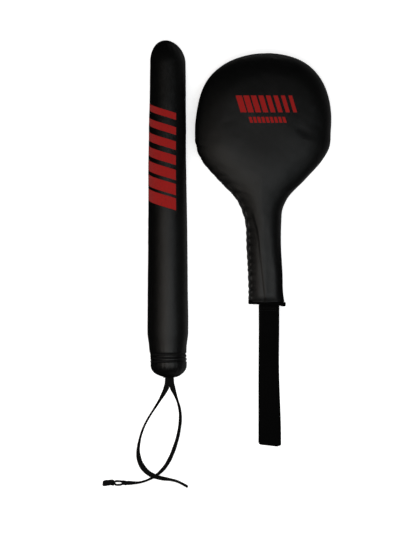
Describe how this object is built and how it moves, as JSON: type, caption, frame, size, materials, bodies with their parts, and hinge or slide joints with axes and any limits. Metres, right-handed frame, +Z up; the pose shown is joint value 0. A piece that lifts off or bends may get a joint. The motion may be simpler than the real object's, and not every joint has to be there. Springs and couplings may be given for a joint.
{
  "type": "padded striking stick and paddle set",
  "caption": "Round padded training stick with a tape wrist lace, beside a round-headed padded paddle with a webbing wrist strap, both in black leathercloth.",
  "frame": {"origin": "on the table top, in the middle of the box that the stick, the paddle and the wrist strap take up", "axes": "+Z up from the table, +Y towards the stick's tip and the paddle's head, +X from the stick to the paddle"},
  "size_m": [0.4095, 0.7984, 0.0714],
  "materials": {
    "leather_black": "black coated leathercloth, satin, fine grain",
    "foam_grey": "closed-cell foam, matte",
    "board_pale": "plain thin plywood",
    "tube_white": "extruded plastic tube and its plugs",
    "webbing_black": "black woven webbing",
    "lace_black": "black flat woven tape",
    "thread_black": "waxed black thread",
    "rivet_steel": "plated steel"
  },
  "bodies": {
    "paddle": {"paddle_cover_front": "leather_black", "paddle_cover_back": "leather_black", "paddle_end_hem": "leather_black", "paddle_end_panel": "leather_black", "paddle_closing_stitches": "thread_black", "paddle_head_foam_front": "foam_grey", "paddle_head_foam_back": "foam_grey", "paddle_grip_foam_front": "foam_grey", "paddle_grip_foam_back": "foam_grey", "paddle_rim_foam": "foam_grey", "paddle_core_board": "board_pale", "strap_tail": "webbing_black", "strap_rivets": "rivet_steel", "strap_washers": "rivet_steel"},
    "strap": {"strap_loop": "webbing_black"},
    "stick": {"stick_cover": "leather_black", "stick_tip_cap": "leather_black", "stick_butt_cap": "leather_black", "stick_closing_stitches": "thread_black", "neck_bindings": "thread_black", "stick_outer_foam": "foam_grey", "stick_inner_foam": "foam_grey", "stick_tip_foam": "foam_grey", "stick_butt_foam": "foam_grey", "stick_core_tube": "tube_white", "stick_tip_plug": "tube_white", "stick_butt_plug": "tube_white", "lace_stem": "lace_black", "lace_knot": "lace_black", "lace_leg_left": "lace_black", "lace_leg_right": "lace_black", "lace_eye": "lace_black"}
  },
  "joints": [
    {"name": "strap_swing", "type": "hinge", "parent": "paddle", "child": "strap", "pos_m": [0.05185, -0.11175, 0.0308], "axis": [1, 0, 0], "range_deg": [-90, 90]},
    {"name": "stick_lift", "type": "slide", "parent": "paddle", "child": "stick", "axis": [0, 0, 1], "range_m": [0, 0.15]}
  ]
}
